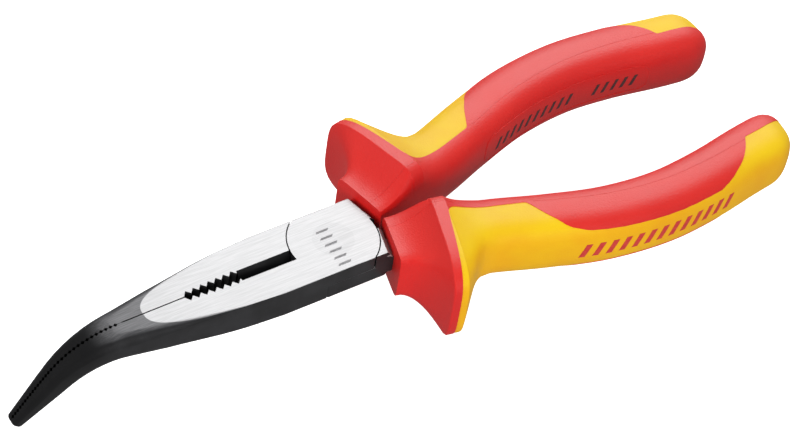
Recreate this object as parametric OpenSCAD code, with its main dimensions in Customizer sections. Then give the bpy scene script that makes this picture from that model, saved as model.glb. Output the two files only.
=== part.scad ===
// Insulated needle nose pliers with a bent nose. Two forged levers cross in a
// lap joint on a flush rivet. Each handle has a yellow base layer moulded over
// the steel tang and a red outer layer moulded over that.
//
// Frame: the origin is on the pivot axis at the joint's back face. The nose
// points to -X and bends down, the handles point to +X, the bright face looks
// to +Z, and the front lever's handle is on the +Y side. Rest pose: closed.

/* [Joint] */
// Width across the joint
joint_w = 18.2; // [16:0.2:22]
// Thickness through the joint
joint_t = 8.2; // [6.8:0.2:10]
// How far the round laps reach past the joint's sides, on the radius
lap_over = 1.7; // [1:0.1:2.4]
// Gap between the two lap faces
lap_gap = 0.1; // [0.04:0.02:0.2]
// Gap between each lap and the shoulder round it
shoulder_gap = 0.3; // [0.2:0.05:0.4]
// Radius of the rivet's shank
rivet_r = 4; // [3:0.25:5]
// How much wider the rivet's ends are, on the radius
rivet_flare = 1; // [0.5:0.1:1.5]
// Depth of the countersink for each end
rivet_sink = 1.2; // [0.8:0.1:1.6]
// Running clearance on the radius between the rivet and the rear lever
rivet_fit = 0.05; // [0.02:0.01:0.1]

/* [Jaws] */
// Distance from the pivot to where the nose starts to bend
bend_x = 56.2; // [52:0.2:70]
// Radius of the bend at the middle of the nose
bend_r = 20; // [14:0.5:26]
// Angle that the nose bends down
bend_angle = 45; // [30:1:50]
// Length of the nose past the bend
nose_l = 16.2; // [12:0.1:20]
// Width across both jaws where the bend starts
bend_w = 10.4; // [8:0.2:12]
// Thickness of the nose where the bend starts
bend_t = 7.8; // [5.4:0.2:8.2]
// Width across both jaws at the tip
tip_w = 3.6; // [3:0.2:5]
// Thickness of the nose at the tip
tip_t = 2.8; // [2.2:0.2:4]
// Gap between the closed jaws, behind the fine teeth
jaw_gap = 0.3; // [0.16:0.02:0.5]
// Gap between the tips of facing teeth
tooth_gap = 0.1; // [0.06:0.02:0.14]

/* [Cutter and teeth] */
// Width of the slot above the cutting edges
slot_w = 3.1; // [2.6:0.1:3.6]
// Distance from the pivot to the far end of the cutter slot
slot_x = 25; // [22:0.5:27]
// Depth of the cutter slot from the bright face
slot_depth = 2.4; // [1.5:0.1:3]
// Distance between the coarse teeth of the pipe grip
pipe_pitch = 2; // [1.6:0.1:2.1]
// Number of coarse gaps on each jaw
pipe_teeth = 7; // [5:1:7]
// Depth of a coarse tooth
pipe_depth = 1.2; // [0.8:0.1:1.4]
// Distance between the fine teeth of the nose
fine_pitch = 1; // [0.8:0.1:1.4]
// Depth of a fine tooth
fine_depth = 0.45; // [0.3:0.05:0.6]

/* [Tangs] */
// Half of the gap between the two tangs
tang_y = 1.7; // [1.4:0.1:2.2]
// Width of the tang inside the handle
tang_w = 6.4; // [5:0.2:7.4]
// Thickness of the tang inside the handle
tang_t = 5.6; // [4.4:0.2:6.2]
// Distance from the pivot to the tang's end
tang_x = 98; // [80:1:104]

/* [Handles] */
// Distance from the pivot to the handles' ends
handle_x = 117.8; // [112:0.2:142]
// Distance from the pivot line to the handle's centre at its widest
handle_bow = 23.1; // [21:0.3:28]
// Width of a handle
handle_w = 14.6; // [12.8:0.2:17]
// Height of a handle
handle_h = 17; // [14.6:0.2:20.4]
// Thickness of the red outer layer
red_wall = 2; // [1.4:0.1:2.4]
// Gap between the laps and the collar's front
collar_clear = 0.5; // [0.4:0.1:1.2]
// Width of the collar
collar_w = 14.2; // [12.6:0.1:14.3]
// Height of the collar
collar_h = 13.6; // [12.6:0.2:15.6]
// Distance from the pivot to the guard's rim, at its middle
guard_x = 22.6; // [21:0.2:26]
// How far the guard reaches out from the handle's centre
guard_reach = 20.3; // [17:0.2:23]
// Angle that the guard's outer side leans forward
guard_lean = 5; // [0:0.5:6]
// Height of the guard
guard_h = 25.4; // [22:0.2:28]
// How far the collar and the guard sit below the middle of the joint
guard_drop = 0.4; // [0:0.1:1]
// Thickness of the guard's rim
rim_t = 2.6; // [1.6:0.2:3.6]
// Thickness of the guard's yellow backing
guard_back = 1.2; // [0.8:0.1:2.6]
// Length of the rounded run from the guard into the handle
guard_run = 11; // [8:0.5:14]

/* [Hidden] */
cut = 1;            // how far a cutter runs past the face it cuts
half_t = joint_t / 2;
lap_r = joint_w / 2 + lap_over;
collar_x = lap_r + collar_clear;

// ---------------------------------------------------------------- curves

// Catmull-Rom point between b and c, with neighbours a and d
function spline(a, b, c, d, t) =
    0.5 * (2 * b + (c - a) * t + (2 * a - 5 * b + 4 * c - d) * t * t
    + (3 * b - a - 3 * c + d) * t * t * t);

// Smooth value at x through the knots [x, value, ...], which rise in x
function knot_at(knots, x, i = 0) =
    i >= len(knots) - 2 || x < knots[i + 1][0] ? i : knot_at(knots, x, i + 1);
function smooth(knots, x) =
    let (
        i = knot_at(knots, x),
        last = len(knots) - 1,
        b = knots[i], c = knots[i + 1],
        a = i > 0 ? knots[i - 1] : 2 * b - c,
        d = i + 2 <= last ? knots[i + 2] : 2 * c - b,
        t = max(0, min(1, (x - b[0]) / (c[0] - b[0])))
    )
    spline(a, b, c, d, t)[1];

// Signed power, for the rounded squares that the handles have in section
function power(v, p) = sign(v) * pow(abs(v), p);

// A four-sided patch as two triangles, seen clockwise from outside where its
// corners are given anticlockwise
function quad(a, b, c, d) = [[a, c, b], [a, d, c]];
// The same patch seen from its other side, split along the same diagonal
function turned_quad(a, b, c, d) = quad(c, b, a, d);

// Side faces between rings of n points, with a flat face on each end
function rings_faces(rings, n) = concat(
    [for (i = [0 : rings - 2], k = [0 : n - 1])
        let (a = i * n + k, b = i * n + (k + 1) % n)
        each quad(a, b, b + n, a + n)],
    [[for (k = [0 : n - 1]) k]],
    [[for (k = [n - 1 : -1 : 0]) (rings - 1) * n + k]]
);

// ------------------------------------------------------------------ nose

// The middle of the nose runs straight, round the bend, and straight again.
// s is the distance along it from the pivot; the result is [x, z, angle].
bend_l = bend_r * bend_angle * PI / 180;
tip_s = bend_x + bend_l + nose_l;
function nose_path(s) =
    s < bend_x ? [-s, 0, 0]
    : s < bend_x + bend_l
    ? let (a = (s - bend_x) / bend_r * 180 / PI)
        [-bend_x - bend_r * sin(a), -bend_r * (1 - cos(a)), a]
    : let (over = s - bend_x - bend_l)
        [-bend_x - bend_r * sin(bend_angle) - over * cos(bend_angle),
        -bend_r * (1 - cos(bend_angle)) - over * sin(bend_angle), bend_angle];

jaw_s = 18;         // where the tapering part of a jaw starts
tip_round = 0.6;    // length of the rounded end of the tip
// Reach of one jaw from the parting plane
jaw_reach = [
    [jaw_s, joint_w / 2],
    [jaw_s + 0.3 * (bend_x - jaw_s), 0.92 * joint_w / 2],
    [jaw_s + 0.75 * (bend_x - jaw_s), 0.38 * joint_w / 2 + 0.6 * bend_w / 2],
    [bend_x, bend_w / 2],
    [bend_x + bend_l, 0.5 * tip_w / 2 + 0.46 * bend_w / 2],
    [tip_s, tip_w / 2]
];
// Thickness of a jaw
jaw_thick = [
    [jaw_s, joint_t],
    [jaw_s + 0.6 * (bend_x - jaw_s), joint_t],
    [bend_x, bend_t],
    [bend_x + bend_l, 0.24 * tip_t + 0.8 * bend_t],
    [tip_s, tip_t]
];
// Radius of a jaw's outer corners, as a share of its reach
jaw_corner = [
    [jaw_s, 0.01],
    [jaw_s + 0.35 * (bend_x - jaw_s), 0.06],
    [jaw_s + 0.75 * (bend_x - jaw_s), 0.3],
    [bend_x, 0.5],
    [bend_x + bend_l, 0.62],
    [tip_s, 0.5]
];
jaw_stations = concat(
    [for (i = [0 : 12]) jaw_s + (bend_x - 1 - jaw_s) * i / 12],
    [for (i = [0 : 7]) bend_x - 0.99 + (bend_l + 0.99) * i / 7],
    [for (i = [1 : 4]) bend_x + bend_l + (nose_l - tip_round) * i / 4],
    [tip_s - tip_round / 3, tip_s]
);
corner_steps = 4;
jaw_points = 2 * corner_steps + 4;

// One section of the jaw on the -Y side, from its inner bottom edge round
function jaw_ring(s) =
    let (
        p = nose_path(s),
        end = s > tip_s - tip_round ? (s - tip_s + tip_round) / tip_round : 0,
        reach = smooth(jaw_reach, s) - 0.4 * end * end,
        t = smooth(jaw_thick, s) / 2 - 0.4 * end * end,
        r = min(t, smooth(jaw_corner, s) * reach),
        inner = s < bend_x - 0.995 ? jaw_gap / 2 : tooth_gap / 2,
        flat = [
            [-inner, -t],
            for (i = [0 : corner_steps]) let (a = 270 - 90 * i / corner_steps)
                [-reach + r + r * cos(a), -t + r + r * sin(a)],
            for (i = [0 : corner_steps]) let (a = 180 - 90 * i / corner_steps)
                [-reach + r + r * cos(a), t - r + r * sin(a)],
            [-inner, t]
        ]
    )
    [for (q = flat) [p[0] - q[1] * sin(p[2]), q[0], p[1] + q[1] * cos(p[2])]];

module jaw_blank() {
    rings = [for (s = jaw_stations) jaw_ring(s)];
    polyhedron(
        points = [for (ring = rings, q = ring) q],
        faces = rings_faces(len(rings), jaw_points),
        convexity = 6
    );
}

// Cutter slot: a V from each face down to the cutting edge
module cutter_slot() {
    wall = 0.5;     // upright part of the slot's side
    edge = 0.05;    // half of the gap between the cutting edges
    for (side = [0, 1]) mirror([0, 0, side])
        translate([-slot_x, 0, 0]) rotate([90, 0, 90])
            linear_extrude(slot_x)
                polygon([
                    [edge, half_t + cut],
                    [edge, half_t - slot_depth - wall],
                    [-edge, half_t - slot_depth - wall],
                    [-slot_w / 2, half_t - wall],
                    [-slot_w / 2, half_t + cut]
                ]);
}

// Coarse teeth of the pipe grip, which opens out towards the cutter
module pipe_grip() {
    end_x = -slot_x - 0.2;
    start_x = end_x - pipe_teeth * pipe_pitch;
    function tip_y(i) = 0.3 + 0.09 * i;
    linear_extrude(joint_t + 2 * cut, center = true)
        polygon([
            [start_x, cut],
            [start_x, -jaw_gap / 2],
            for (i = [0 : pipe_teeth - 1]) each [
                [start_x + (i + 0.5) * pipe_pitch, -tip_y(i) - pipe_depth],
                [start_x + (i + 1) * pipe_pitch, -tip_y(i + 1)]
            ],
            [end_x + 0.6, -slot_w / 2],
            [end_x + 0.6, cut]
        ]);
}

// Fine teeth, square to the middle of the nose all the way round the bend
module fine_teeth() {
    count = floor((tip_s - tip_round - bend_x) / fine_pitch);
    for (i = [0 : count - 1]) {
        p = nose_path(bend_x + (i + 0.5) * fine_pitch);
        translate([p[0], 0, p[1]]) rotate([0, -p[2], 0])
            linear_extrude(2 * joint_t, center = true)
                polygon([
                    [-fine_pitch / 2, cut], [-fine_pitch / 2, -tooth_gap / 2],
                    [0, -tooth_gap / 2 - fine_depth],
                    [fine_pitch / 2, -tooth_gap / 2], [fine_pitch / 2, cut]
                ]);
    }
}

// The jaw on the -Y side
module jaw() {
    difference() {
        jaw_blank();
        pipe_grip();
        fine_teeth();
    }
}

// ------------------------------------------------------- handle's middle

// The handle's middle line, seen from above: [x, y, ...] rising in x
tang_start = 5;                 // where the tang's root starts
collar_y = collar_w / 2 + 0.3;  // its y at the collar, which clears the other
guard_y = handle_w / 2 + 2.3;   // its y at the guard
run_x = handle_x - guard_x;
run_y = handle_bow - guard_y;
middle_knots = [
    [tang_start, collar_y - 1.8],
    [collar_x, collar_y],
    [guard_x, guard_y],
    [guard_x + 0.11 * run_x, guard_y + 0.18 * run_y],
    [guard_x + 0.27 * run_x, guard_y + 0.56 * run_y],
    [guard_x + 0.42 * run_x, guard_y + 0.87 * run_y],
    [guard_x + 0.58 * run_x, handle_bow],
    [guard_x + 0.73 * run_x, handle_bow - 1],
    [guard_x + 0.87 * run_x, handle_bow - 3.2],
    [handle_x, handle_bow - 4.7]
];
function middle_y(x) = smooth(middle_knots, x);
function middle_angle(x) = atan2(middle_y(x + 0.2) - middle_y(x - 0.2), 0.4);

// A point across and above the middle line at x, in a plane that leans
function at_middle(x, across, up, lean = 0) =
    let (a = middle_angle(x) + lean)
    [x - across * sin(a), middle_y(x) + across * cos(a), up];

// Rounded square section: half widths out and in, half height, squareness
function section(angle, out, in, up, square) =
    [(cos(angle) > 0 ? out : in) * power(cos(angle), 2 / square),
    up * power(sin(angle), 2 / square)];

// ----------------------------------------------------------------- tangs

lip_l = 1.2;        // length of the collar's lip, which closes on the tang
lip_fit = 0.03;     // gap between the lip and the tang
lip_end = collar_x + lip_l + 0.2;
tang_stations = concat(
    [tang_start, 9, collar_x],
    [for (i = [0 : 18])
        collar_x + lip_l + (tang_x - collar_x - lip_l) * i / 18]
);
sleeve_from = 3;    // the first tang station that the base layer is moulded on
collar_gap = 0.4;   // gap between the collar and the steel's full thickness
tang_shift = 0.6;   // how far the tang's root sits in from the middle line

// A ring's first steps lie over the base layer, between the two borders, and
// the rest over the outer layer. The angle starts at the outer side.
base_steps = 10;
outer_steps = 14;
ring_points = base_steps + outer_steps;
function ring_angle(border, k) =
    k <= base_steps ? -border + 2 * border * k / base_steps
    : border + (360 - 2 * border) * (k - base_steps) / outer_steps;

guard_border = 97;  // angle of the border where the guard starts it
// A ring of the tang, or of the lip round it where grow is a clearance
function tang_ring(x, grow = 0) =
    let (
        grown = max(0, min(1, (x - tang_start) / (guard_x - tang_start))),
        w = tang_w / 2 - 0.3 * (1 - grown) + grow,
        t = tang_t / 2 + 0.6 * (1 - grown) + grow
    )
    [for (k = [0 : ring_points - 1])
        let (q = section(ring_angle(guard_border, k), w, w, t, 5))
        at_middle(x, q[0] - tang_shift * (1 - grown), q[1])];

module tang() {
    rings = [for (x = tang_stations) tang_ring(x)];
    polyhedron(
        points = [for (ring = rings, q = ring) q],
        faces = rings_faces(len(rings), ring_points),
        convexity = 4
    );
}

// ---------------------------------------------------------------- levers

// Lever with its jaw on -Y, its lap in the upper half and its tang on +Y.
// A flipped lever has its jaw's bend the other way up.
module lever(flipped) {
    slope_l = 1.2;      // length of the slope down to the tang
    slope_angle = 50;
    lean = middle_angle(collar_x);
    function end_x(y) = collar_x - collar_gap + (middle_y(collar_x) - y) * tan(lean);
    difference() {
        union() {
            difference() {
                union() {
                    translate([-jaw_s, -joint_w / 2, -half_t])
                        cube([jaw_s, joint_w / 2 - jaw_gap / 2, joint_t]);
                    if (flipped) mirror([0, 0, 1]) jaw(); else jaw();
                }
                cutter_slot();
            }
            intersection() {
                cylinder(r = lap_r, h = half_t, $fn = 96);
                translate([-lap_r, -joint_w / 2, 0])
                    cube([2 * lap_r, joint_w, half_t]);
            }
            linear_extrude(joint_t, center = true)
                polygon([
                    [0, tang_y], [end_x(tang_y), tang_y],
                    [end_x(joint_w / 2), joint_w / 2], [0, joint_w / 2]
                ]);
            tang();
        }
        // Room for the other lever's lap
        translate([0, 0, -half_t - cut])
            cylinder(
                r = lap_r + shoulder_gap,
                h = half_t + cut + lap_gap / 2, $fn = 96
            );
        // Slopes from the flat faces down to the tang
        for (side = [0, 1]) mirror([0, 0, side])
            translate([end_x(0) - slope_l, 0, half_t]) rotate([0, 0, lean])
                rotate([0, slope_angle, 0])
                    cube([3 * slope_l, joint_w / 2 + cut, joint_t / 2]);
    }
}

module in_place() translate([0, 0, half_t]) children();

module front_lever() {
    color([0.78, 0.79, 0.8]) in_place() difference() {
        lever(false);
        translate([0, 0, -cut]) cylinder(r = rivet_r, h = half_t + 2 * cut, $fn = 64);
        translate([0, 0, half_t - rivet_sink])
            cylinder(r1 = rivet_r, r2 = rivet_r + rivet_flare, h = rivet_sink, $fn = 64);
    }
}

module rear_lever() {
    bore_r = rivet_r + rivet_fit;
    color([0.62, 0.63, 0.65]) in_place() difference() {
        rotate([180, 0, 0]) lever(true);
        translate([0, 0, -half_t - cut])
            cylinder(r = bore_r, h = half_t + 2 * cut, $fn = 64);
        translate([0, 0, -half_t])
            cylinder(r1 = bore_r + rivet_flare, r2 = bore_r, h = rivet_sink, $fn = 64);
    }
}

module pivot_rivet() {
    end_r = rivet_r + rivet_flare;
    color([0.74, 0.75, 0.77]) in_place()
        rotate_extrude($fn = 64)
            polygon([
                [0, -half_t], [end_r, -half_t], [rivet_r, -half_t + rivet_sink],
                [rivet_r, half_t - rivet_sink], [end_r, half_t], [0, half_t]
            ]);
}

// --------------------------------------------------------------- handles

tail_l = 8;         // length of the rounded end
tail_lean = 12;     // angle that squares the end up to the pivot line
rim_over = 0.9;     // how far the rim's back is past guard_x
rim_back = guard_x + rim_over;
rim_front = rim_back - rim_t;
guard_end = rim_back + guard_back;

// How far a station is along the flare from the collar to the rim, 0 to 1
function flare(x) = pow(max(0, (x - collar_x) / (rim_front - collar_x)), 2.1);
// How much of the guard is left behind the rim, 1 to 0
function guard_left(x) = pow(max(0, 1 - (x - guard_end) / guard_run), 2.2);
// How full the rounded end is at x
function tail_full(x) =
    let (d = (x - handle_x + tail_l) / tail_l)
    d < 0 ? 1 : max(0.3, pow(1 - pow(d, 2.4), 1 / 2.4));
// A size that goes from the collar's to the guard's and on to the handle's
function blend(x, collar, guard, handle) =
    x < rim_front ? collar + (guard - collar) * flare(x)
    : x < guard_end ? guard
    : (handle + (guard - handle) * guard_left(x)) * tail_full(x);

function half_out(x) = blend(x, collar_w / 2, guard_reach, handle_w / 2);
function half_in(x) = blend(x, collar_w / 2, handle_w / 2, handle_w / 2);
function half_up(x) = blend(x, collar_h / 2, guard_h / 2, handle_h / 2);
function squareness(x) =
    x < rim_front ? 6 - 2 * flare(x) : x < guard_end ? 4 : 3 + guard_left(x);
// How much the handle is guard or collar, and how much it is tail, 0 to 1
function front_share(x) = x < guard_end ? 1 : guard_left(x);
function tail_share(x) = pow(max(0, 1 - (handle_x - x) / (2.4 * tail_l)), 1.5);
function lean(x) =
    guard_lean * (x < guard_end ? min(1, flare(x)) : guard_left(x)) + tail_lean * tail_share(x);

// Angle from the outer side up to the border of the two layers
border_knots = [
    [rim_back, guard_border],
    [guard_x + 0.12 * run_x, 102],
    [guard_x + 0.215 * run_x, 113],
    [guard_x + 0.255 * run_x, 62],
    [guard_x + 0.32 * run_x, 42],
    [guard_x + 0.5 * run_x, 38],
    [guard_x + 0.69 * run_x, 40],
    [guard_x + 0.78 * run_x, 58],
    [guard_x + 0.862 * run_x, 94],
    [handle_x, 90]
];
border_start = guard_x + 0.215 * run_x;
border_end = guard_x + 0.862 * run_x;
red_front_stations = concat(
    [collar_x, collar_x + lip_l],
    [for (i = [0 : 5]) lip_end + (rim_front - lip_end) * i / 5],
    [rim_back - 0.5 * rim_t, rim_back]
);
handle_stations = concat(
    red_front_stations,
    [guard_end],
    [for (i = [1 : 4]) guard_end + guard_run * i / 5],
    [for (i = [0 : 8]) border_start + (border_end - border_start) * i / 8],
    [handle_x - 0.9 * tail_l, handle_x - 0.5 * tail_l],
    [handle_x - 0.25 * tail_l, handle_x - 0.08 * tail_l, handle_x]
);
// A ring of the handle's surface, or of its core where inset is the red wall
function handle_ring(x, inset) =
    let (
        out = half_out(x), in = half_in(x), up = half_up(x),
        least = min(inset, 0.3 * in),
        border = smooth(border_knots, x)
    )
    [for (k = [0 : ring_points - 1])
        let (q = section(
            ring_angle(border, k), out - least, in - least, up - least, squareness(x)
        ))
        at_middle(x, q[0], q[1] - guard_drop * front_share(x), lean(x))];

// Faces of a skin over ring stations i0 to i1 and ring steps k0 to k1, for
// rings that start at point base; turned says that the skin faces inwards
function skin(base, i0, i1, k0, k1, turned) = [
    for (i = [i0 : i1 - 1], k = [k0 : k1 - 1])
        let (
            n = ring_points,
            a = base + i * n + k % n, b = base + i * n + (k + 1) % n,
            c = base + (i + 1) * n + (k + 1) % n, d = base + (i + 1) * n + k % n
        )
        each (turned ? turned_quad(a, b, c, d) : quad(a, b, c, d))
];
// Faces between two rings that start at points p and q, over steps k0 to k1
function web(p, q, k0, k1, turned) = [
    for (k = [k0 : k1 - 1])
        let (n = ring_points, a = k % n, b = (k + 1) % n)
        each (turned ? turned_quad(p + a, p + b, q + b, q + a)
            : quad(p + a, p + b, q + b, q + a))
];
// Faces of the wall between two skins along step k, from station i0 to i1
function wall(p, q, k, i0, i1, turned) = [
    for (i = [i0 : i1 - 1])
        let (n = ring_points, a = i * n + k % n, b = (i + 1) * n + k % n)
        each (turned ? turned_quad(p + a, p + b, q + b, q + a)
            : quad(p + a, p + b, q + b, q + a))
];

stations = len(handle_stations);
outer_first = 0;
core_first = stations * ring_points;
tang_first = 2 * stations * ring_points;
rim = len(red_front_stations) - 1;
last = stations - 1;
lip = 2;            // number of stations on the lip
skins = concat(
    [for (x = handle_stations) each handle_ring(x, 0)],
    [for (i = [0 : last])
        each i < lip ? tang_ring(handle_stations[i], lip_fit)
            : handle_ring(handle_stations[i], red_wall)],
    [for (i = [sleeve_from : len(tang_stations) - 1]) each tang_ring(tang_stations[i])]
);

// Red layer of the handle on +Y: a ring over the collar and guard, then a
// channel over the inner side and top
module outer_layer() {
    n = ring_points;
    polyhedron(
        points = skins,
        faces = concat(
            skin(outer_first, 0, rim, 0, n, false),
            skin(outer_first, rim, last, base_steps, n, false),
            skin(core_first, 0, rim, 0, n, true),
            skin(core_first, rim, last, base_steps, n, true),
            web(core_first, outer_first, 0, n, false),
            web(outer_first + rim * n, core_first + rim * n, 0, base_steps, false),
            web(outer_first + last * n, core_first + last * n, base_steps, n, false),
            wall(outer_first, core_first, base_steps, rim, last, false),
            wall(outer_first, core_first, n, rim, last, true)
        ),
        convexity = 8
    );
}

// Yellow layer of the handle on +Y, with the blind hole that the tang fills
module base_layer() {
    n = ring_points;
    tang_last = len(tang_stations) - 1 - sleeve_from;
    polyhedron(
        points = skins,
        faces = concat(
            skin(core_first, lip, rim, 0, n, false),
            skin(core_first, rim, last, base_steps, n, false),
            skin(outer_first, rim, last, 0, base_steps, false),
            web(core_first + rim * n, outer_first + rim * n, 0, base_steps, false),
            wall(outer_first, core_first, base_steps, rim, last, true),
            wall(outer_first, core_first, n, rim, last, false),
            [[for (k = [n - 1 : -1 : 0]) core_first + last * n + k]],
            web(outer_first + last * n, core_first + last * n, 0, base_steps, false),
            skin(tang_first, 0, tang_last, 0, n, true),
            [[for (k = [0 : n - 1]) tang_first + tang_last * n + k]],
            web(tang_first, core_first + lip * n, 0, n, false)
        ),
        convexity = 8
    );
}

red = [0.87, 0.14, 0.13];
yellow = [0.98, 0.79, 0.13];
module upper_base_layer() color(yellow) in_place() base_layer();
module upper_outer_layer() color(red) in_place() outer_layer();
module lower_base_layer() color(yellow) in_place() mirror([0, 1, 0]) base_layer();
module lower_outer_layer() color(red) in_place() mirror([0, 1, 0]) outer_layer();

front_lever();
rear_lever();
pivot_rivet();
upper_base_layer();
upper_outer_layer();
lower_base_layer();
lower_outer_layer();
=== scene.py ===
# %% [markdown]
# # Bent needle nose pliers
#
# The pliers are two forged levers that cross in a lap joint on a flush rivet.
# Each handle is moulded in two shots: a stiff yellow base over the steel tang,
# and a soft red skin over the base, with the yellow left bare behind the guard,
# along the outside and at the tail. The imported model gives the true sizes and
# the joint. This file adds the finished surfaces around it, in metres.

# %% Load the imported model
import bpy
import math
from mathutils import Matrix, Vector


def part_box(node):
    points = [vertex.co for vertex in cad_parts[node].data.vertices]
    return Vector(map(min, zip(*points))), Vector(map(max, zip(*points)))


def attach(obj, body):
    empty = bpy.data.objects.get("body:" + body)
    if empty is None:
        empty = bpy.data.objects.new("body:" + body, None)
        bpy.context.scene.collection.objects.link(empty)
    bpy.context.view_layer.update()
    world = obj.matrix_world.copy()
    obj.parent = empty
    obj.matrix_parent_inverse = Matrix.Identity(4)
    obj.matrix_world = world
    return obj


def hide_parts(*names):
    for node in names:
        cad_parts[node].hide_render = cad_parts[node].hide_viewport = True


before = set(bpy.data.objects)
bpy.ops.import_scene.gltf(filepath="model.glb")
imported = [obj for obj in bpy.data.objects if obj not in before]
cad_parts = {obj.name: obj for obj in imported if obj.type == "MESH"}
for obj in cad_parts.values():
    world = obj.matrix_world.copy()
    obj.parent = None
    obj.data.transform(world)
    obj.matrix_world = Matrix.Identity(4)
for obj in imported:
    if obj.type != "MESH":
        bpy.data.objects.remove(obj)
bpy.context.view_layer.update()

# %% [markdown]
# Every size below is in millimetres, as on a workshop drawing, and mm turns it
# into metres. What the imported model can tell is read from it: the joint's
# thickness from the rivet, and the handles' reach from the moulded layers.

# %% Sizes
mm = 0.001


def box_mm(node):
    """Lowest and highest corner of a CAD node, in millimetres."""
    low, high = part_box(node)
    return low / mm, high / mm


rivet_low, rivet_high = box_mm("pivot_rivet")
outer_low, outer_high = box_mm("upper_outer_layer")
_, base_high = box_mm("upper_base_layer")
lever_low, _ = box_mm("front_lever")
joint_t = rivet_high.z - rivet_low.z
half_t = joint_t / 2
handle_w = 14.6
handle_h = 17.0
collar_w = 14.2
collar_h = 13.6
collar_x = 11.3
guard_x = 22.6
guard_reach = 20.3
guard_h = outer_high.z - outer_low.z
guard_drop = half_t - (outer_high.z + outer_low.z) / 2
handle_bow = base_high.y - handle_w / 2
handle_x = outer_high.x - 0.33
print("joint thickness", round(joint_t, 2), "guard height", round(guard_h, 2),
      "handle end", round(handle_x, 2), "bow", round(handle_bow, 2))

# %% [markdown]
# Operators act on whatever is selected, and the loader leaves its nodes
# selected. These small helpers clear the selection, pick the parts of a mesh
# by a test on their place or normal, and apply a modifier once it is set up.

# %% Helpers for modelling


def only(piece):
    """Select one object and make it active."""
    if bpy.context.object and bpy.context.object.mode != "OBJECT":
        bpy.ops.object.mode_set(mode="OBJECT")
    bpy.ops.object.select_all(action="DESELECT")
    piece.select_set(True)
    bpy.context.view_layer.objects.active = piece


def edit(piece, kind="VERT"):
    """Go into edit mode on one object with nothing selected."""
    only(piece)
    bpy.ops.object.mode_set(mode="EDIT")
    bpy.ops.mesh.select_mode(type=kind)
    bpy.ops.mesh.select_all(action="DESELECT")


def pick(piece, kind, test):
    """Select the vertices, edges or faces that pass a test, from edit mode."""
    bpy.ops.object.mode_set(mode="EDIT")
    bpy.ops.mesh.select_mode(type=kind)
    bpy.ops.mesh.select_all(action="DESELECT")
    bpy.ops.object.mode_set(mode="OBJECT")
    parts = {"VERT": piece.data.vertices, "EDGE": piece.data.edges,
             "FACE": piece.data.polygons}[kind]
    for part in parts:
        part.select = test(part)
    bpy.ops.object.mode_set(mode="EDIT")


def done():
    bpy.ops.object.mode_set(mode="OBJECT")


def modify(piece, kind, **settings):
    """Add a modifier, set it and apply it."""
    only(piece)
    modifier = piece.modifiers.new(kind.title(), kind)
    for name, value in settings.items():
        setattr(modifier, name, value)
    bpy.ops.object.modifier_apply(modifier=modifier.name)
    return piece


def copy_of(piece, name):
    twin = piece.copy()
    twin.data = piece.data.copy()
    twin.name = twin.data.name = name
    bpy.context.scene.collection.objects.link(twin)
    return twin


def smooth_knots(knots, x):
    """Catmull-Rom value at x through [x, value] knots, which rise in x."""
    last = len(knots) - 1
    i = max(0, min(last - 1, sum(1 for k in knots[1:] if x >= k[0])))
    b, c = Vector(knots[i]), Vector(knots[i + 1])
    a = Vector(knots[i - 1]) if i > 0 else 2 * b - c
    d = Vector(knots[i + 2]) if i + 2 <= last else 2 * c - b
    t = max(0, min(1, (x - b[0]) / (c[0] - b[0])))
    point = 0.5 * (2 * b + (c - a) * t + (2 * a - 5 * b + 4 * c - d) * t ** 2
                   + (3 * b - a - 3 * c + d) * t ** 3)
    return point[1]


# %% [markdown]
# ## The handle's shape
#
# A handle is a rounded square bar that bows out from the joint. Its section
# grows from a collar into a wide guard, drops back behind the guard and closes
# in a rounded tail. It could be pulled out of one long box, but the section
# changes all the way, so it is lofted: a ring is drawn at each station along
# the middle line, and the rings are bridged. These functions give the ring's
# place and size at any station.

# %% Middle line and section of the handle
run_x = handle_x - guard_x
collar_y = collar_w / 2 + 0.3
guard_y = handle_w / 2 + 2.3
run_y = handle_bow - guard_y
middle_knots = [
    [5, collar_y - 1.8], [collar_x, collar_y], [guard_x, guard_y],
    [guard_x + 0.11 * run_x, guard_y + 0.18 * run_y],
    [guard_x + 0.27 * run_x, guard_y + 0.56 * run_y],
    [guard_x + 0.42 * run_x, guard_y + 0.87 * run_y],
    [guard_x + 0.58 * run_x, handle_bow],
    [guard_x + 0.73 * run_x, handle_bow - 1],
    [guard_x + 0.87 * run_x, handle_bow - 3.2],
    [handle_x, handle_bow - 4.7],
]
rim_t = 2.6
rim_back = guard_x + 0.9
rim_front = rim_back - rim_t
guard_end = rim_back + 1.2
guard_run = 11
guard_lean = 5
tail_l = 8
tail_lean = 12
red_wall = 2.0
rim_round = 0.4


def middle_y(x):
    return smooth_knots(middle_knots, x)


def middle_angle(x):
    return math.degrees(math.atan2(middle_y(x + 0.2) - middle_y(x - 0.2), 0.4))


def flare(x):
    """How far a station is along the flare from the collar to the rim."""
    return max(0, (x - collar_x) / (rim_front - collar_x)) ** 2.1


def guard_left(x):
    """How much of the guard is left behind the rim, 1 to 0."""
    return max(0, 1 - (x - guard_end) / guard_run) ** 2.2


def tail_full(x):
    """How full the rounded end is."""
    d = min(1, (x - handle_x + tail_l) / tail_l)
    return 1 if d < 0 else max(0.3, (1 - d ** 2.4) ** (1 / 2.4))


def rim_ease(x):
    """How much the rim's rounded edges take off, at its front and back."""
    near = max(0, 1 - (x - rim_front) / rim_round) if x < guard_x else (
        max(0, 1 - (guard_end - x) / rim_round))
    return 0 if x < rim_front or x > guard_end else rim_round * near ** 2


def blend(x, collar, guard, handle):
    if x < rim_front:
        return collar + (guard - rim_round - collar) * flare(x)
    if x <= guard_end:
        return guard - rim_ease(x)
    return (handle + (guard - rim_round - handle) * guard_left(x)) * tail_full(x)


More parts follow.
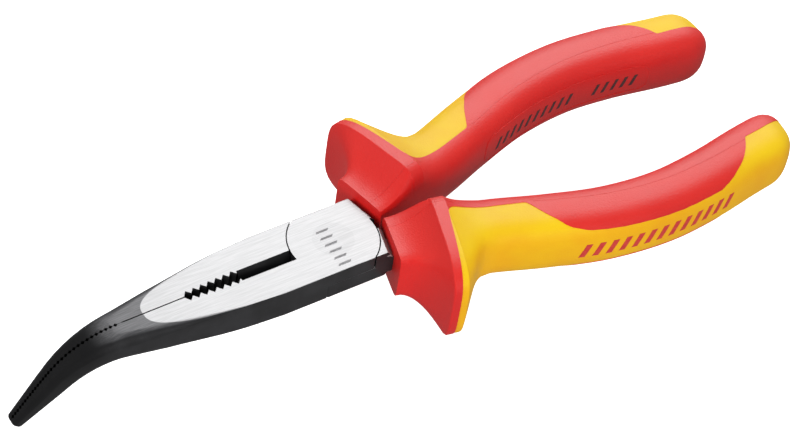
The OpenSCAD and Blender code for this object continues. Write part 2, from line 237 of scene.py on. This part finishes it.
def squareness(x):
    if x < rim_front:
        return 10 - 5.8 * flare(x)
    return 4.2 if x < guard_end else 3 + 1.2 * guard_left(x)


def lean(x):
    share = min(1, flare(x)) if x < guard_end else guard_left(x)
    tail_share = max(0, 1 - (handle_x - x) / (2.4 * tail_l)) ** 1.5
    return guard_lean * share + tail_lean * tail_share


def half_sizes(x):
    """Half width on the outer side, on the inner side, and half height."""
    inner_guard = handle_w / 2 + rim_round
    return (blend(x, collar_w / 2, guard_reach, handle_w / 2),
            min(blend(x, collar_w / 2, inner_guard, handle_w / 2), handle_w / 2),
            blend(x, collar_h / 2, guard_h / 2, handle_h / 2))


for x in (collar_x, guard_x, 60, handle_x):
    print("station", round(x, 1), "middle", round(middle_y(x), 2),
          "half sizes", [round(size, 2) for size in half_sizes(x)])

# %% [markdown]
# ## Rings
#
# A ring starts as a plane of four squares. Each half is scaled to its own
# width, then the four corners are bevelled until the curves meet in the middle
# of each side. The bevel's profile sets how square the ring is: a profile of
# 0.5 gives an ellipse and more gives a fuller corner. Only the outline is kept.

# %% Draw one ring, loft many
corner_steps = 14


def draw_ring(x, inset):
    """One ring of the handle at station x, as an object of edges."""
    out, inner, up = half_sizes(x)
    less = min(inset, 0.3 * inner)
    turn = math.radians(middle_angle(x) + lean(x))
    share = 1 if x < guard_end else guard_left(x)
    centre = Vector((x, middle_y(x), half_t - guard_drop * share)) * mm
    bpy.ops.mesh.primitive_grid_add(x_subdivisions=2, y_subdivisions=2, size=2 * mm)
    ring = bpy.context.object
    bpy.ops.object.mode_set(mode="EDIT")
    pick(ring, "VERT", lambda v: v.co.y > 0.5 * mm)
    bpy.ops.transform.resize(value=(1, out - less, 1), center_override=(0, 0, 0))
    pick(ring, "VERT", lambda v: v.co.y < -0.5 * mm)
    bpy.ops.transform.resize(value=(1, inner - less, 1), center_override=(0, 0, 0))
    bpy.ops.mesh.select_all(action="SELECT")
    bpy.ops.transform.resize(value=(up - less, 1, 1), center_override=(0, 0, 0))
    pick(ring, "VERT", lambda v: min(abs(v.co.x), abs(v.co.y)) > 0.1 * mm)
    profile = 2 ** (-2 / squareness(x))
    bpy.ops.mesh.bevel(offset_type="PERCENT", offset_pct=100, segments=corner_steps,
                       profile=profile, affect="VERTICES", clamp_overlap=False)
    bpy.ops.mesh.select_all(action="SELECT")
    bpy.ops.mesh.remove_doubles(threshold=0.02 * mm)
    pick(ring, "VERT", lambda v: v.co.length < 0.1 * mm)
    bpy.ops.mesh.delete(type="VERT")
    done()
    # The ring's own X stands up and its Y points to the outer side
    upright = Matrix(((0, -math.sin(turn), math.cos(turn)),
                      (0, math.cos(turn), math.sin(turn)), (1, 0, 0))).to_4x4()
    ring.data.transform(Matrix.Translation(centre) @ upright)
    return ring


def loft(name, stations, inset, run_out=0):
    """Bridge rings at the stations and close both ends. The last ring may run out further."""
    rings = [draw_ring(x, inset) for x in stations]
    if run_out:
        rings[-1].data.transform(Matrix.Translation((run_out * mm, 0, 0)))
    only(rings[0])
    for ring in rings:
        ring.select_set(True)
    bpy.ops.object.join()
    piece = bpy.context.object
    piece.name = piece.data.name = name
    bpy.ops.object.mode_set(mode="EDIT")
    bpy.ops.mesh.select_all(action="SELECT")
    bpy.ops.mesh.bridge_edge_loops()
    bpy.ops.mesh.select_all(action="DESELECT")
    bpy.ops.mesh.select_mode(type="EDGE")
    bpy.ops.mesh.select_non_manifold()
    bpy.ops.mesh.edge_face_add()
    bpy.ops.mesh.select_all(action="SELECT")
    bpy.ops.mesh.normals_make_consistent(inside=False)
    done()
    print(name, len(stations), "rings,", len(piece.data.polygons), "faces, size mm",
          [round(d / mm, 1) for d in piece.dimensions])
    return piece


def spread(start, end, count):
    """Evenly spaced stations from start to end, both kept."""
    return [start + (end - start) * i / (count - 1) for i in range(count)]


# %% [markdown]
# The stations lie close together where the section changes fast: up the flare,
# round the rim, down behind the guard and round the tail. The skin is the
# handle's whole outside. The core is the same loft 2 mm further in, from just
# behind the collar's lip, and it runs a little past the tail so that the cuts
# made with it are clean.

# %% Skin and core of one handle
front_stations = spread(collar_x, rim_front - 0.5, 11)
rim_stations = [rim_front - 0.1, rim_front, rim_front + 0.13, rim_front + 0.26,
                rim_front + rim_round, rim_front + rim_round + 0.12,
                guard_x, rim_back, guard_end - rim_round - 0.12, guard_end - rim_round,
                guard_end - 0.26, guard_end - 0.13, guard_end, guard_end + 0.12]
run_stations = spread(guard_end + 0.6, guard_end + guard_run, 12)
grip_stations = spread(guard_end + guard_run + 2.5, handle_x - tail_l, 26)
tail_stations = [handle_x - tail_l * (1 - k) for k in
                 (0.15, 0.3, 0.45, 0.6, 0.7, 0.8, 0.87, 0.93, 0.97, 1)]
skin_stations = front_stations + rim_stations + run_stations + grip_stations + tail_stations
core_start = collar_x + 1.4
skin = loft("skin", skin_stations, 0)
core = loft("core", [core_start] + [x for x in skin_stations if x > core_start + 0.3],
            red_wall, run_out=1)

# %% [markdown]
# ## Where the yellow shows
#
# Seen from above, the yellow is bare in one window: from the plane behind the
# rim, over the top to a corner, along the outside as a strip, and over the end
# of the tail. The window is drawn as an outline, its corners are rounded, and it
# is raised into a prism that cuts right through the handle, so the border comes
# out alike above and below.

# %% Window prism
strip_across = 6.5      # from the middle line out to the strip's border
window_outline = [      # corner, radius of its rounding
    ((12.3, 42.0), 0), ((24.9, 8.1), 5.5), ((29.0, 8.5), 3), ((36.5, 10.6), 0),
    ((44.3, 13.0), 1.3), ((46.9, 18.6), 3), ((50.0, 23.2), 3), ((54.5, 25.6), 3),
    *[((x, middle_y(x) + strip_across), 0) for x in range(59, 92, 4)],
    ((94.6, 27.6), 3), ((99.6, 24.6), 4), ((102.4, 21.4), 2), ((103.9, 18.9), 0.9),
    ((108.0, 18.5), 3), ((113.5, 17.6), 3), ((126.0, 13.2), 0), ((126.0, 42.0), 0),
]


def prism(name, outline, low_z, high_z):
    """A plate with rounded corners, raised from low_z to high_z."""
    count = len(outline)
    bpy.ops.mesh.primitive_circle_add(vertices=count, radius=mm, fill_type="NGON",
                                      location=(0, 0, low_z * mm))
    piece = bpy.context.object
    piece.name = piece.data.name = name
    bpy.ops.object.transform_apply(location=True, rotation=False, scale=False)
    for vertex, ((x, y), _) in zip(piece.data.vertices, outline):
        vertex.co.x, vertex.co.y = x * mm, y * mm
    for (x, y), radius in outline:
        if radius:
            pick(piece, "VERT", lambda v: math.hypot(v.co.x - x * mm, v.co.y - y * mm) < 1e-5)
            bpy.ops.mesh.bevel(offset_type="OFFSET", offset=radius * 0.45 * mm, segments=6,
                               affect="VERTICES")
    bpy.ops.mesh.select_all(action="SELECT")
    bpy.ops.mesh.extrude_region_move(
        TRANSFORM_OT_translate={"value": (0, 0, (high_z - low_z) * mm)})
    bpy.ops.mesh.select_all(action="SELECT")
    bpy.ops.mesh.normals_make_consistent(inside=False)
    done()
    return piece


window = prism("window", window_outline, outer_low.z - 4, outer_high.z + 4)
print("window prism", len(window.data.polygons), "faces")

# %% [markdown]
# The red skin is the whole handle less the window and less the core. The
# yellow base is what the window and the core keep of a handle drawn in by
# 0.12 mm, so the red stands slightly proud along the border, as a second shot
# does. Booleans cut the lofted shapes, and their cut edges stay crisp.

# %% Cut the two layers of the upper handle
red_proud = 0.12


def cut_by(piece, tool, operation):
    return modify(piece, "BOOLEAN", operation=operation, solver="EXACT", object=tool)


def tidy_cut(piece, name):
    """Merge what the cuts left, turn all faces out and smooth by angle."""
    piece.name = piece.data.name = name
    edit(piece)
    bpy.ops.mesh.select_all(action="SELECT")
    bpy.ops.mesh.remove_doubles(threshold=0.01 * mm)
    bpy.ops.mesh.normals_make_consistent(inside=False)
    done()
    bpy.ops.object.shade_smooth_by_angle(angle=math.radians(34))
    print(name, len(piece.data.polygons), "faces")
    return piece


red_upper = copy_of(skin, "red_upper")
cut_by(red_upper, window, "DIFFERENCE")
cut_by(red_upper, core, "DIFFERENCE")
tidy_cut(red_upper, "upper_red_skin")

yellow_upper = copy_of(skin, "yellow_upper")
edit(yellow_upper)
bpy.ops.mesh.select_all(action="SELECT")
bpy.ops.transform.shrink_fatten(value=-red_proud * mm)
done()
kept = copy_of(window, "kept")
cut_by(kept, core, "UNION")
cut_by(yellow_upper, kept, "INTERSECT")
tidy_cut(yellow_upper, "upper_yellow_base")

# %% [markdown]
# The lower handle is the upper one's mirror image across the joint's middle, so
# it is copied and mirrored rather than drawn again. Mirroring turns a mesh
# inside out, so its faces are turned back.

# %% Mirror the lower handle


def mirrored(piece, name):
    twin = copy_of(piece, name)
    only(twin)
    bpy.ops.transform.resize(value=(1, -1, 1), center_override=(0, 0, 0))
    bpy.ops.object.transform_apply(location=True, rotation=True, scale=True)
    edit(twin)
    bpy.ops.mesh.select_all(action="SELECT")
    bpy.ops.mesh.normals_make_consistent(inside=False)
    done()
    return twin


red_lower = mirrored(red_upper, "lower_red_skin")
yellow_lower = mirrored(yellow_upper, "lower_yellow_base")
print("lower handle spans y", round(min(v.co.y for v in red_lower.data.vertices) / mm, 1),
      "to", round(max(v.co.y for v in red_lower.data.vertices) / mm, 1))

# %% [markdown]
# ## The forged levers
#
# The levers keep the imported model's exact shape: lap, cutter, teeth and bend.
# A forging never has a knife-sharp corner, though, so each gets a copy whose
# flat triangles are merged back into whole faces, with every sharp edge broken
# by a narrow bevel that catches the light. Weighted normals then keep the wide
# flat faces from shading as if they curved into the bevel.

# %% Break the levers' sharp edges
edge_break = 0.16


def broken_edges(node, name):
    lever = copy_of(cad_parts[node], name)
    lever.hide_render = lever.hide_viewport = False
    edit(lever)
    bpy.ops.mesh.select_all(action="SELECT")
    bpy.ops.mesh.remove_doubles(threshold=0.002 * mm)
    bpy.ops.mesh.dissolve_limited(angle_limit=math.radians(0.6))
    done()
    modify(lever, "BEVEL", width=edge_break * mm, segments=2, limit_method="ANGLE",
           angle_limit=math.radians(38), use_clamp_overlap=True)
    bpy.ops.object.shade_smooth_by_angle(angle=math.radians(30))
    modify(lever, "WEIGHTED_NORMAL", keep_sharp=True)
    print(name, len(lever.data.polygons), "faces")
    return lever


front_forging = broken_edges("front_lever", "front_forging")
rear_forging = broken_edges("rear_lever", "rear_forging")

# %% [markdown]
# ## Mould lines and the raised frame
#
# The mould leaves a fine parting line along the top of the red, and another
# over the collar and guard. On the inner side of the upper handle a thin raised
# frame borders a blank panel. Each is a bead that follows the skin: points are
# dropped onto the surface along one axis, a line is drawn through them, and the
# line is given a round section that lies partly sunk in the plastic.

# %% Beads on the skin
bead_r = 0.12
bead_sink = 0.05        # how far the bead's middle lies under the surface


def dropped(target, start, direction):
    """Where a ray from start first meets the target, in millimetres."""
    hit, place, normal, _ = target.ray_cast(Vector(start) * mm, Vector(direction))
    return place / mm - normal * bead_sink if hit else None


def bead(name, points, radius=bead_r, closed=False):
    """A round bead through the points, as a closed mesh."""
    line = bpy.data.curves.new(name, "CURVE")
    line.dimensions = "3D"
    line.bevel_depth = radius * mm
    line.bevel_resolution = 1
    line.use_fill_caps = True
    route = line.splines.new("POLY")
    route.points.add(len(points) - 1)
    for point, place in zip(route.points, points):
        point.co = (*(place * mm), 1)
    route.use_cyclic_u = closed
    piece = bpy.data.objects.new(name, line)
    bpy.context.scene.collection.objects.link(piece)
    only(piece)
    bpy.ops.object.convert(target="MESH")
    piece = bpy.context.object
    edit(piece)
    bpy.ops.mesh.select_all(action="SELECT")
    bpy.ops.mesh.remove_doubles(threshold=0.005 * mm)
    bpy.ops.mesh.normals_make_consistent(inside=False)
    done()
    bpy.ops.object.shade_smooth_by_angle(angle=math.radians(50))
    print(name, len(piece.data.polygons), "faces")
    return piece


def along_top(start, end, across_start, across_end, step=1.5):
    """Points on top of the skin beside the middle line, from start to end."""
    count = int((end - start) / step) + 1
    found = []
    for x in spread(start, end, count):
        across = across_start + (across_end - across_start) * (x - start) / (end - start)
        found.append(dropped(skin, (x, middle_y(x) + across, 40), (0, 0, -1)))
    return [point for point in found if point]


upper_seam = bead("upper_top_seam", along_top(46, 103.4, -2.9, -0.6))
guard_seam = bead("upper_guard_seam", along_top(11.0, 27.5, -3.3, -3.6, 0.6))
lower_seam = mirrored(upper_seam, "lower_top_seam")
lower_guard_seam = mirrored(guard_seam, "lower_guard_seam")

# %% Raised frame on the inner side of the upper handle
frame_x = (48.6, 99.2)
frame_z = (half_t - 3.8, half_t + 4.5)
frame_round = 2.6


def rounded_frame(low_x, high_x, low_z, high_z, radius, step=1.6):
    """Points round a rounded rectangle, close enough to follow the skin."""
    corners = ((high_x - radius, high_z - radius, 0), (low_x + radius, high_z - radius, 90),
               (low_x + radius, low_z + radius, 180), (high_x - radius, low_z + radius, 270))
    points = []
    for x, z, start in corners:
        for angle in range(start, start + 91, 15):
            points.append((x + radius * math.cos(math.radians(angle)),
                           z + radius * math.sin(math.radians(angle))))
        if start == 0:
            points += [(x - i * step, z + radius) for i in
                       range(1, int((high_x - low_x - 2 * radius) / step))]
        if start == 180:
            points += [(x + i * step, z - radius) for i in
                       range(1, int((high_x - low_x - 2 * radius) / step))]
    return points


frame_points = [dropped(skin, (x, -5, z), (0, 1, 0)) for x, z in
                rounded_frame(*frame_x, *frame_z, frame_round)]
panel_frame = bead("upper_panel_frame", frame_points, radius=0.2, closed=True)

# %% [markdown]
# ## Plain hatch marks
#
# Where a maker would print, these pliers carry plain slanted bars: dusky red on
# the yellow strip of the lower handle, dark grey in the panel of the upper one,
# and a row of small etched strokes on the joint. One bar is a flat grid that is
# copied along the row, wrapped onto the surface and given the thickness of ink.
# The joint is flat, so its strokes are laid on it without wrapping.

# %% Slanted bars wrapped onto a surface


def hatch(name, target, places, bar_l, bar_w, slant, y, ink=0.05):
    """Slanted bars, thrown along Y onto the target, or laid flat at height y without one."""
    bpy.ops.mesh.primitive_grid_add(x_subdivisions=2, y_subdivisions=6, size=mm)
    first = bpy.context.object
    for vertex in first.data.vertices:
        across, along = vertex.co.x, vertex.co.y
        side, up = across * bar_w + along * slant, along * bar_l
        vertex.co = (side, 0, up) if target else (side, up, 0)
    bars = [first] + [copy_of(first, "bar") for _ in places[1:]]
    for bar, (x, up) in zip(bars, places):
        place = (x, y, up) if target else (x, up, y)
        bar.data.transform(Matrix.Translation(Vector(place) * mm))
    only(bars[0])
    for bar in bars:
        bar.select_set(True)
    bpy.ops.object.join()
    piece = bpy.context.object
    piece.name = piece.data.name = name
    if target:
        modify(piece, "SHRINKWRAP", target=target, wrap_method="PROJECT",
               use_project_y=True, use_positive_direction=True,
               use_negative_direction=False, offset=0.0)
    modify(piece, "SOLIDIFY", thickness=2 * ink * mm, offset=0)
    edit(piece)
    bpy.ops.mesh.select_all(action="SELECT")
    bpy.ops.mesh.normals_make_consistent(inside=False)
    done()
    print(name, len(places), "bars,", len(piece.data.polygons), "faces")
    return piece


strip_start, strip_pitch, strip_rise = 54.0, 3.3, 0.06
strip_places = [(strip_start + strip_pitch * i, half_t - 0.2 + strip_rise * i) for i in range(13)]
strip_marks = hatch("lower_strip_bars", yellow_lower, strip_places, 4.4, 1.5, 1.5, -40)
panel_start, panel_pitch = 53.5, 2.6
panel_gap = (10, 11)    # bars left out, which splits the row in two
panel_places = [(panel_start + panel_pitch * i, half_t + 0.3)
                for i in range(17) if i not in panel_gap]
panel_marks = hatch("upper_panel_bars", red_upper, panel_places, 3.4, 0.9, 1.2, -5)
stroke_start, stroke_pitch = 3.2, 2.1
stroke_places = [(-1.2, stroke_start - stroke_pitch * i) for i in range(6)]
joint_marks = hatch("joint_strokes", None, stroke_places, 0.6, 3.2, 0.5, rivet_high.z,
                    ink=0.015)

# %% Clear away the tools
for tool in (skin, core, window, kept):
    bpy.data.objects.remove(tool)

# %% Say what each piece rides on and replaces
for piece, body, node, slot in (
    (front_forging, "front_half", "front_lever", "forged_steel"),
    (rear_forging, "rear_half", "rear_lever", "forged_steel"),
    (red_upper, "front_half", "upper_outer_layer", "red_insulation"),
    (yellow_upper, "front_half", "upper_base_layer", "yellow_insulation"),
    (red_lower, "rear_half", "lower_outer_layer", "red_insulation"),
    (yellow_lower, "rear_half", "lower_base_layer", "yellow_insulation"),
):
    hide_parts(node)
    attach(piece, body)
for piece, body, slot in (
    (upper_seam, "front_half", "red_insulation"),
    (guard_seam, "front_half", "red_insulation"),
    (panel_frame, "front_half", "red_insulation"),
    (panel_marks, "front_half", "red_insulation"),
    (lower_seam, "rear_half", "red_insulation"),
    (lower_guard_seam, "rear_half", "red_insulation"),
    (strip_marks, "rear_half", "yellow_insulation"),
    (joint_marks, "front_half", "forged_steel"),
):
    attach(piece, body)

# %% [markdown]
# ## Shader helpers
#
# A finish is a small sum of masks and patterns. The class below wraps a socket
# so that sums can be written as sums: each operator adds one Math node.

# %% Shader arithmetic


class Field:
    """A number that varies over a surface."""

    def __init__(self, finish, socket):
        self.finish, self.socket = finish, socket

    def math(self, operation, *others, swap=False):
        values = [self, *others]
        if swap:
            values.reverse()
        node = self.finish.node("ShaderNodeMath", {"operation": operation},
                                dict(enumerate(values)))
        return Field(self.finish, node.outputs[0])

    def __add__(self, other):
        return self.math("ADD", other)

    __radd__ = __add__

    def __sub__(self, other):
        return self.math("SUBTRACT", other)

    def __rsub__(self, other):
        return self.math("SUBTRACT", other, swap=True)

    def __mul__(self, other):
        return self.math("MULTIPLY", other)

    __rmul__ = __mul__

    def __truediv__(self, other):
        return self.math("DIVIDE", other)

    def __pow__(self, other):
        return self.math("POWER", other)

    def size(self):
        return self.math("ABSOLUTE")

    def step(self, low, high):
        """0 below low, 1 above high and a smooth ramp between."""
        node = self.finish.node("ShaderNodeMapRange", {"interpolation_type": "SMOOTHSTEP"},
                                {0: self, 1: low, 2: high, 3: 0.0, 4: 1.0})
        return Field(self.finish, node.outputs[0])


class Finish:
    """A procedural material built on one Principled shader."""

    def __init__(self, name, **even):
        self.material = bpy.data.materials.new(name)
        self.material.use_nodes = True
        self.tree = self.material.node_tree
        self.shader = self.tree.nodes["Principled BSDF"]
        self.place = self.tree.nodes.new("ShaderNodeTexCoord")
        for socket, value in even.items():
            self.shader.inputs[socket.replace("_", " ")].default_value = value

    def node(self, kind, settings=None, values=None):
        """Any node: its type, its settings, then its sockets' values or links."""
        node = self.tree.nodes.new(kind)
        for name, value in (settings or {}).items():
            setattr(node, name, value)
        for key, value in (values or {}).items():
            self.feed(node.inputs[key], value)
        return node

    def feed(self, socket, value):
        if isinstance(value, Field):
            value = value.socket
        if isinstance(value, bpy.types.NodeSocket):
            self.tree.links.new(value, socket)
        else:
            socket.default_value = value

    def axes(self, output="Object"):
        """The three parts of the surface's place or normal."""
        node = self.node("ShaderNodeSeparateXYZ", None, {0: self.place.outputs[output]})
        return [Field(self, out) for out in node.outputs]

    def noise(self, scale, detail=3.0, roughness=0.55, stretch=(1, 1, 1)):
        """Noise with this many grains to the metre, stretched along the axes."""
        mapping = self.node("ShaderNodeMapping", None,
                            {0: self.place.outputs["Object"], 3: stretch})
        node = self.node("ShaderNodeTexNoise", None,
                         {"Vector": mapping.outputs[0], "Scale": scale, "Detail": detail,
                          "Roughness": roughness})
        return Field(self, node.outputs[0])

    def mix(self, share, first, second):
        """One colour passing into another."""
        node = self.node("ShaderNodeMix", {"data_type": "RGBA"},
                         {0: share, 6: first, 7: second})
        return node.outputs[2]

    def bump(self, height, depth_mm):
        node = self.node("ShaderNodeBump", None, {"Height": height,
                                                  "Distance": depth_mm * mm, "Strength": 1.0})
        self.feed(self.shader.inputs["Normal"], node.outputs[0])

    def wear(self, **sockets):
        for name, value in sockets.items():
            self.feed(self.shader.inputs[name.replace("_", " ")], value)
        return self.material


def paint(piece, finish):
    piece.data.materials.clear()
    piece.data.materials.append(finish)
    print(piece.name, "wears", finish.name)


def tone(red, green, blue):
    """A colour given as on a paint card, 0 to 255, turned into light."""
    return tuple(((c / 255 + 0.055) / 1.055) ** 2.4 if c > 10 else c / 255 / 12.92
                 for c in (red, green, blue)) + (1.0,)


# %% [markdown]
# ## Red skin and yellow base
#
# Both plastics come out of a mould with an even colour and a fine satin grain.
# An image could carry the grain, but noise stays sharp at any distance and needs
# no file. A slower noise drifts the colour a little, and faces that lie flat are
# painted a shade brighter than the sides, as painted light from the lamp above,
# with the sides in painted shade. The red mirrors the lamps more than the yellow.

# %% Moulded plastics


def moulded(name, deep, bright, gloss, roughness, grain):
    finish = Finish(name, Specular_IOR_Level=gloss)
    # Painted light: faces that lie flat are tinted towards the bright tone, as if lit from above,
    # and the sides towards the deep tone, as painted shade.
    flat = finish.axes("Normal")[2].size().step(0.2, 0.9)
    cloud = finish.noise(60, 3)
    sparks = finish.noise(2400, 2)
    # The colour is part random drift from the slow noise and part painted light and shade from
    # the flat mask.
    colour = finish.mix(cloud.step(0.3, 0.7) * 0.4 + flat * 0.6, deep, bright)
    finish.bump(sparks, grain)
    return finish.wear(Base_Color=colour, Roughness=roughness + cloud * 0.1)


# Each deep tone is the plastic's side in painted shade and each bright tone its top in painted
# light; the slow noise also drifts between them.
red_soft = moulded("red_soft_plastic", tone(210, 22, 20), tone(226, 33, 24),
                   0.95, 0.46, 0.09)
yellow_hard = moulded("yellow_hard_plastic", tone(236, 168, 10), tone(246, 205, 16),
                      0.45, 0.46, 0.07)
for piece in (red_upper, red_lower, upper_seam, lower_seam, guard_seam, lower_guard_seam,
              panel_frame):
    paint(piece, red_soft)
for piece in (yellow_upper, yellow_lower):
    paint(piece, yellow_hard)

# %% Printed bars


def ink(name, first, second):
    finish = Finish(name, Roughness=0.5)
    worn = finish.noise(900, 3)
    return finish.wear(Base_Color=finish.mix(worn.step(0.35, 0.7), first, second))


paint(strip_marks, ink("dusky_red_ink", tone(196, 52, 52), tone(208, 66, 58)))
paint(panel_marks, ink("dark_grey_ink", tone(66, 44, 46), tone(84, 54, 54)))
paint(joint_marks, ink("etched_grey", tone(120, 120, 122), tone(150, 150, 152)))

# %% [markdown]
# ## Ground face and black sides
#
# The forging is black, and its flat faces are ground bright up to a rounded
# border short of the nose, with hairlines along the tool. Separate pieces could
# carry the two finishes, but one material with a mask is simpler: it works out
# from the place and the normal where the steel is ground. Past the bend the
# black grows darker. The rivet is ground with the face, so it wears the same.

# %% Forged steel
face_end = 49.8         # how far the ground face reaches towards the nose
face_half = 9.1         # half its width at the joint
face_taper = 22         # where it starts to narrow
bend_start, bend_end = 58, 64       # half-ground steel fades out over the bend
nose_start, nose_end = 56, 66       # and the black grows darker


def forged_steel():
    finish = Finish("forged_steel", Specular_IOR_Level=0.4)
    x, y, z = finish.axes()
    normal_z = finish.axes("Normal")[2]
    nose_ward = x * (-1 / mm)
    run = (nose_ward - face_taper) / (face_end - face_taper)
    run = run.math("MAXIMUM", 0.0).math("MINIMUM", 1.0)
    edge = (1 - run ** 1.2) ** 0.36 * face_half
    inside = (edge - y.size() * (1 / mm)).step(-0.1, 0.25)
    inside = inside * nose_ward.step(face_end + 0.15, face_end - 0.15)
    facing = normal_z.size().step(0.8, 0.93)
    slopes = x.step(2 * mm, 3 * mm) * normal_z.size().step(0.5, 0.6)
    ground = (inside * facing).math("MAXIMUM", slopes)
    half_ground = nose_ward.step(bend_end, bend_start) * normal_z.size().step(0.8, 0.97)
    streaks = finish.noise(5200, 2, 0.6, stretch=(0.03, 1, 1))
    blotch = finish.noise(140, 4)
    dark = finish.mix(blotch.step(0.3, 0.75), tone(40, 40, 41), tone(54, 54, 56))
    nose = nose_ward.step(nose_start, nose_end)
    dark = finish.mix(nose, dark, finish.mix(blotch, tone(18, 18, 19), tone(30, 30, 31)))
    grey = finish.mix(streaks.step(0.3, 0.7), tone(78, 78, 80), tone(100, 100, 102))
    bright = finish.mix(streaks.step(0.3, 0.7), tone(166, 166, 167), tone(182, 182, 183))
    colour = finish.mix(half_ground, dark, grey)
    colour = finish.mix(ground, colour, bright)
    rough = 0.33 + ground * 0.06 + (streaks - 0.5) * 0.1
    finish.bump(streaks * 0.6 + blotch * 0.4, 0.006)
    return finish.wear(Base_Color=colour, Roughness=rough, Metallic=0.3 + ground * 0.2)


steel = forged_steel()
for piece in (front_forging, rear_forging):
    paint(piece, steel)


def rivet_steel():
    finish = Finish("rivet_steel", Specular_IOR_Level=0.4, Metallic=0.5)
    streaks = finish.noise(5200, 2, 0.6, stretch=(0.03, 1, 1))
    colour = finish.mix(streaks.step(0.3, 0.7), tone(162, 162, 163), tone(178, 178, 179))
    finish.bump(streaks, 0.006)
    return finish.wear(Base_Color=colour, Roughness=0.34 + streaks * 0.1)


paint(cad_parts["pivot_rivet"], rivet_steel())

# %% [markdown]
# ## Floor, light and camera
#
# The pliers lie over plain white paper. The key lamp stands high behind them,
# where the bright faces mirror it towards the camera. The fills lift the matt
# colours alone and don't show as reflections, which keeps the red and yellow
# full. The camera looks down past the nose through a long lens, so that the
# handles don't seem to spread.

# %% Floor
floor_z = lever_low.z - 0.6
bpy.ops.mesh.primitive_plane_add(size=3, location=(0, 0, floor_z * mm))
floor = bpy.context.object
floor.name = "floor"
floor_finish = Finish("floor_paper", Emission_Color=(1, 1, 1, 1), Emission_Strength=0.85)
fibre = floor_finish.noise(40, 3)
paint(floor, floor_finish.wear(
    Base_Color=floor_finish.mix(fibre, tone(248, 248, 248), tone(253, 253, 253)),
    Roughness=0.85))
floor.visible_diffuse = floor.visible_glossy = False

# %% Studio light
world = bpy.data.worlds.new("studio")
bpy.context.scene.world = world
world.use_nodes = True
world.node_tree.nodes["Background"].inputs["Color"].default_value = (1, 1, 1, 1)
world.node_tree.nodes["Background"].inputs["Strength"].default_value = 0.27


def soft_box(name, place, aim, size, power, shines=True):
    """A square lamp; one that doesn't shine lights the matt colour alone."""
    bpy.ops.object.light_add(type="AREA", location=Vector(place) * mm)
    lamp = bpy.context.object
    lamp.name = name
    lamp.visible_glossy = shines
    lamp.data.size = size * mm
    lamp.data.energy = power
    lamp.rotation_mode = "QUATERNION"
    direction = Vector(aim) * mm - lamp.location
    lamp.rotation_quaternion = direction.to_track_quat("-Z", "Y")
    return lamp


soft_box("key_behind", (430, 480, 640), (30, 0, 0), 650, 5.2)
soft_box("fill_left", (-700, 100, 250), (0, 0, 0), 500, 3.2, shines=False)
soft_box("fill_near", (-80, -740, 200), (50, 0, 0), 500, 5, shines=False)
soft_box("fill_far", (500, 560, 60), (50, 0, 0), 500, 2, shines=False)

# %% Camera
look_at = Vector((19.2, 0.9, half_t))
camera_turn = -38.52
camera_height = 48.99
camera_roll = 9.55
camera_distance = 712.5
bpy.ops.object.camera_add()
camera = bpy.context.object
camera.name = "camera"
turn, height = math.radians(camera_turn), math.radians(camera_height)
back = Vector((math.sin(turn) * math.cos(height), -math.cos(turn) * math.cos(height),
               math.sin(height)))
camera.location = (look_at + back * camera_distance) * mm
camera.rotation_mode = "QUATERNION"
level = (-back).to_track_quat("-Z", "Y")
roll = Matrix.Rotation(math.radians(camera_roll), 3, "Z").to_quaternion()
camera.rotation_quaternion = level @ roll
print("camera", [round(v / mm) for v in camera.location])
camera.data.lens = 136.5
camera.data.sensor_width = 36
camera.data.clip_start, camera.data.clip_end = 0.01, 10
bpy.context.scene.camera = camera
bpy.context.scene.view_settings.view_transform = "Standard"
